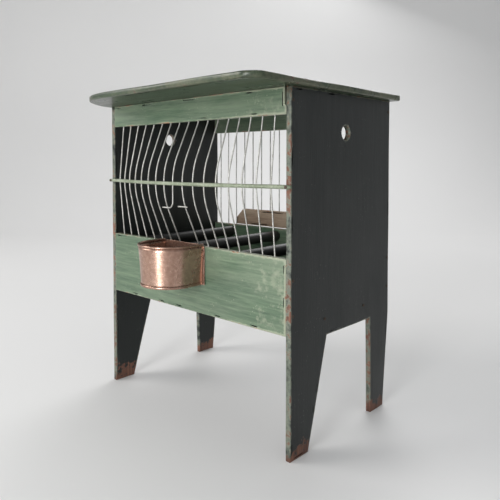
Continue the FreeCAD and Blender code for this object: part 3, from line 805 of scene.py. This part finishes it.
def hookedWire(name, path, hook, shape):
    # the cut wire turns out of its plane, so its ring directions are carried along the path
    whole = np.concatenate([path, hook])
    tangent = np.gradient(whole, axis=0)
    tangent /= np.linalg.norm(tangent, axis=1)[:, None]
    inHook = np.arange(len(whole)) >= len(path) - 9
    across = np.cross(tangent, np.array([0.0, 1.0, 0.0]))
    normal = np.where(inHook[:, None], across, np.array([1.0, 0.0, 0.0]))
    normal /= np.linalg.norm(normal, axis=1)[:, None]
    return tube(name, whole, normal, shape["radius"], shape["sides"])


frontWires()


def straightWire(name, axis, body, normal, bend=0.0):
    # a drawn wire between its ends in the frame; bend lets it wander a little between them
    low, high = (np.array(corner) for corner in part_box(name))
    centre = (low + high) / 2
    count = 40
    share = np.linspace(0, 1, count)
    path = np.tile(centre, (count, 1))
    path[:, axis] = low[axis] + (high[axis] - low[axis]) * share
    inside = np.where((share > 0.08) & (share < 0.92), np.sin((share - 0.08) / 0.84 * math.pi) ** 2, 0)
    path[:, 0 if axis == 2 else 2] += bend * inside * np.sin(share * 5 + rng.uniform(0, 6))
    across = 1 if axis == 0 else 0
    radius = (high[across] - low[across]) / 2
    piece = tube("visual_" + name, path, normal, radius, 12)
    return finishPiece(piece, wireMetal, body, "steel_wire", name)


backNames = sorted(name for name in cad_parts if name.startswith("back_wire"))
for name in backNames:
    straightWire(name, 2, "cage", (1, 0, 0), 0.5 * mm)
straightWire("feed_cross_wire", 0, "cage", (0, 0, 1))
straightWire("door_hinge_wire", 0, "cage", (0, 0, 1))

doorShape = {"radius": 0.65 * mm, "loopRadius": 1.53 * mm, "loopTurn": math.radians(265)}


def doorWire(number):
    # upright from its seat in the bar, then round the hinge wire in an open loop
    name = f"door_wire_{number}"
    low, high = (np.array(corner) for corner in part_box(name))
    shape = doorShape
    run = high[2] - shape["radius"] - shape["loopRadius"] - low[2]
    flat = bendPath((0, 0), math.pi / 2, [run, (shape["loopRadius"], -shape["loopTurn"])], 0.25 * mm)
    x = (low[0] + high[0]) / 2
    line = low[1] + shape["radius"]
    path = np.column_stack([np.full(len(flat), x), line + flat[:, 0], low[2] + flat[:, 1]])
    piece = tube("visual_" + name, path, (1, 0, 0), shape["radius"], 12)
    return finishPiece(piece, wireMetal, "rear_door", "steel_wire", name)


for number in range(1, 7):
    doorWire(number)

barShape = {"radius": 1.75 * mm, "bowRadius": 388 * mm, "easeRadius": 40 * mm}


def bowBar():
    # straight end, easing bend, long arc, easing bend, straight end, all level
    shape = barShape
    low, high = (np.array(corner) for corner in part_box("bow_bar"))
    rise = (high[1] - low[1]) - 2 * shape["radius"]
    turn = math.acos(1 - rise / (shape["bowRadius"] + shape["easeRadius"]))
    curved = (shape["bowRadius"] + shape["easeRadius"]) * math.sin(turn)
    run = high[0] - curved
    ease = (shape["easeRadius"], -turn)
    moves = [run, ease, (shape["bowRadius"], 2 * turn), ease, run]
    flat = bendPath((low[0], high[1] - shape["radius"]), 0.0, moves, 1.5 * mm)
    path = np.column_stack([flat, np.full(len(flat), (low[2] + high[2]) / 2)])
    radius = shape["radius"] * (1 - 0.02 - 0.02 * np.sin(flat[:, 0] * 90))
    piece = tube("visual_bow_bar", path, (0, 0, 1), radius, 20)
    return finishPiece(piece, barMetal, "cage", "painted_bar", "bow_bar")


bowBar()
print("wires made")


cupShape = {
    "radius": 28.0 * mm,
    "straight": 17.0 * mm,
    "taper": 2.4 * mm,
    "sheet": 0.6 * mm,
    "seamGap": 0.05 * mm,
    "seamRise": 2.2 * mm,
    "rimRadius": 1.1 * mm,
}


def feedCup():
    # the round-fronted cup and the clipped plate behind it
    shape = cupShape
    plateLow, plateHigh = (np.array(corner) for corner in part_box("cup_back_plate"))
    centre = np.array([(plateLow[0] + plateHigh[0]) / 2, plateLow[1], plateLow[2]])
    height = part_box("cup_wall")[1].z - plateLow[2]
    foot = shape["radius"] - shape["taper"]
    level = np.linspace(shape["sheet"] + shape["seamGap"], height, 14)
    share = (level - level[0]) / (height - level[0])
    outer = foot + shape["taper"] * share - 0.25 * mm * np.sin(share * math.pi)
    outside = np.column_stack([outer, level])
    inside = np.column_stack([outer - shape["sheet"], level])[::-1]
    section = np.concatenate([outside, inside])
    wall = makeObject("visual_cup_wall", *roundFronted(section, centre, shape["straight"], 72, 0.002))
    finishPiece(wall, cupMetal, "feed_cup", "cup_tin", "cup_wall")

    # the base: a turned-up skirt round the wall's foot and a flat floor inside it
    lip = foot + shape["seamGap"]
    lean = shape["taper"] * shape["seamRise"] / height
    skirt = np.array(
        [
            (lip, 0.0),
            (lip + shape["sheet"] * 0.6, 0.0),
            (lip + shape["sheet"], 0.35 * mm),
            (lip + shape["sheet"] + lean * 0.5, shape["seamRise"] * 0.5),
            (lip + shape["sheet"] * 0.9 + lean, shape["seamRise"]),
            (lip + lean, shape["seamRise"]),
            (lip, shape["sheet"]),
        ]
    )
    points, faces = roundFronted(skirt, centre, shape["straight"], 72)
    turn = np.linspace(0, math.pi, 72)
    arc = np.column_stack([lip * np.cos(turn), -shape["straight"] - lip * np.sin(turn)])
    plan = np.concatenate([[[lip, 0.0]], arc, [[-lip, 0.0]]])
    lower = np.column_stack([centre[0] + plan[:, 0], centre[1] + plan[:, 1], np.full(len(plan), centre[2])])
    upper = lower + np.array([0, 0, shape["sheet"]])
    first = len(points)
    count = len(plan)
    points = np.concatenate([points, lower, upper])
    faces.append([first + n for n in range(count)])
    faces.append([first + count + n for n in reversed(range(count))])
    following = [(n + 1) % count for n in range(count)]
    faces += [[first + n, first + count + n, first + count + m, first + m] for n, m in enumerate(following)]
    base = makeObject("visual_cup_base", points, faces)
    base.data.polygons.foreach_set("use_smooth", [len(face) == 4 for face in faces])
    finishPiece(base, cupMetal, "feed_cup", "cup_tin", "cup_base")

    width = plateHigh[0] - plateLow[0]
    tall = plateHigh[2] - plateLow[2]
    corner = 2 * mm
    corners = np.array(
        [(0, 0), (width, 0), (width, tall - corner)]
        + [(width - corner, tall), (corner, tall), (0, tall - corner)]
    )
    plate = slab(
        "visual_cup_back_plate",
        resample(corners, 6 * mm),
        plateHigh[1] - plateLow[1],
        standing(plateLow, "y"),
        0.2 * mm,
        1.5 * mm,
        0.1 * mm,
    )
    finishPiece(plate, cupMetal, "feed_cup", "cup_tin", "cup_back_plate")

    rimLow, rimHigh = (np.array(corner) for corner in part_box("cup_rim"))
    line = shape["radius"] - shape["sheet"] / 2
    turn = np.linspace(math.pi, 2 * math.pi, 90)
    arc = np.column_stack([line * np.cos(turn), line * np.sin(turn) - shape["straight"]])
    run = np.linspace(0, -shape["straight"], 8, endpoint=False)
    leftRun = np.column_stack([np.full(8, -line), run])
    rightRun = np.column_stack([np.full(8, line), run[::-1]])
    flat = np.concatenate([leftRun, arc, rightRun])
    path = np.column_stack([centre[:2] + flat, np.full(len(flat), (rimLow[2] + rimHigh[2]) / 2)])
    rim = tube("visual_cup_rim", path, (0, 0, 1), shape["rimRadius"], 16)
    finishPiece(rim, cupMetal, "feed_cup", "cup_tin", "cup_rim")


feedCup()

# small fittings keep their frame shapes
keptShapes = {
    "cup_hooks": cupMetal,
    "hinge_staples": ironMetal,
    "side_nails": ironMetal,
    "roof_nails": ironMetal,
    "bow_bar_nails": ironMetal,
}
for name, material in keptShapes.items():
    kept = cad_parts[name]
    kept.data.materials.clear()
    kept.data.materials.append(material)
print("cup and fittings made")


stageLook = {
    "ground": (0.78, 0.775, 0.77),
    "back": 1.9,
    "bend": 0.7,
    "height": 2.2,
    "half": 3.0,
    "near": 2.4,
}
cameraLook = {
    "place": (0.3945, -0.3891, 0.2400),
    "yaw": -0.75113,
    "pitch": -0.03494,
    "lens": 39.48,
    "shiftY": -0.1371,
}


def backdrop():
    # floor, quarter-round bend and wall as one sweep square to the view: (s, z) rows carried sideways
    look = stageLook
    turn = np.linspace(0, math.pi / 2, 24)
    curve = look["back"] - look["bend"] + look["bend"] * np.sin(turn)
    run = np.concatenate([[-look["near"]], curve, [look["back"]]])
    rise = np.concatenate([[0.0], look["bend"] * (1 - np.cos(turn)), [look["height"]]])
    side = np.linspace(-look["half"], look["half"], 9)
    forward = np.array([math.sin(cameraLook["yaw"]), math.cos(cameraLook["yaw"])])
    across = np.array([forward[1], -forward[0]])
    flat = run[:, None, None] * forward + side[None, :, None] * across
    points = np.concatenate([flat, np.broadcast_to(rise[:, None, None], (len(run), 9, 1))], axis=2)
    faces = [quad[::-1] for quad in gridFaces(len(run), 9, False, False)]
    sweep = makeObject("backdrop", points.reshape(-1, 3), faces)
    material, tree, shader, place = newMaterial("palePaper", look["ground"])
    cloud = remap(tree, noise(tree, place, 2.0, 2.0), 0.3, 0.7, 0.0, 0.12)
    tone = mixColour(tree, cloud, (*look["ground"], 1), (0.70, 0.695, 0.69, 1))
    tree.links.new(tone, shader.inputs["Base Color"])
    shader.inputs["Roughness"].default_value = 0.55
    sweep.data.materials.append(material)


def studio():
    # world light and the lamps, which the camera does not see
    world = bpy.data.worlds.new("studio")
    bpy.context.scene.world = world
    world.use_nodes = True
    tree = world.node_tree
    light = tree.nodes["Background"]
    light.inputs["Color"].default_value = (0.96, 0.98, 1.0, 1.0)
    light.inputs["Strength"].default_value = 0.36
    lamps = (
        ("windowLamp", (0.34, -1.42, 0.42), 15.0, (0.5, 1.0), (0.97, 0.99, 1.0)),
        ("stripLamp", (0.085, -0.5, 0.07), 0.5, (0.09, 0.22), (1.0, 1.0, 1.0)),
        ("keyLamp", (-1.25, -1.15, 1.15), 17.0, (1.0, 1.0), (1.0, 0.985, 0.96)),
        ("fillLamp", (1.3, -0.9, 0.9), 0.8, (1.2, 1.2), (0.95, 0.97, 1.0)),
        ("rearLamp", (-0.6, 1.4, 1.5), 14.0, (1.2, 1.2), (1.0, 1.0, 1.0)),
    )
    for name, place, power, size, colour in lamps:
        lamp = bpy.data.lights.new(name, "AREA")
        lamp.shape = "RECTANGLE"
        lamp.energy = power
        lamp.size, lamp.size_y = size
        lamp.color = colour
        holder = bpy.data.objects.new(name, lamp)
        holder.location = place
        aim = Vector((0, 0, 0.15)) - Vector(place)
        holder.rotation_euler = aim.to_track_quat("-Z", "Y").to_euler()
        holder.visible_camera = False
        bpy.context.scene.collection.objects.link(holder)


def camera():
    # placed and turned by its settings
    look = cameraLook
    lens = bpy.data.cameras.new("view")
    lens.lens = look["lens"]
    lens.sensor_width = 36.0
    lens.shift_y = look["shiftY"]
    lens.clip_start = 0.01
    holder = bpy.data.objects.new("view", lens)
    holder.location = look["place"]
    flat = math.cos(look["pitch"])
    forward = Vector(
        (math.sin(look["yaw"]) * flat, math.cos(look["yaw"]) * flat, math.sin(look["pitch"]))
    )
    holder.rotation_euler = forward.to_track_quat("-Z", "Y").to_euler()
    bpy.context.scene.collection.objects.link(holder)
    bpy.context.scene.camera = holder


backdrop()
studio()
camera()
bpy.context.scene.view_settings.view_transform = "Standard"
print("stage set")
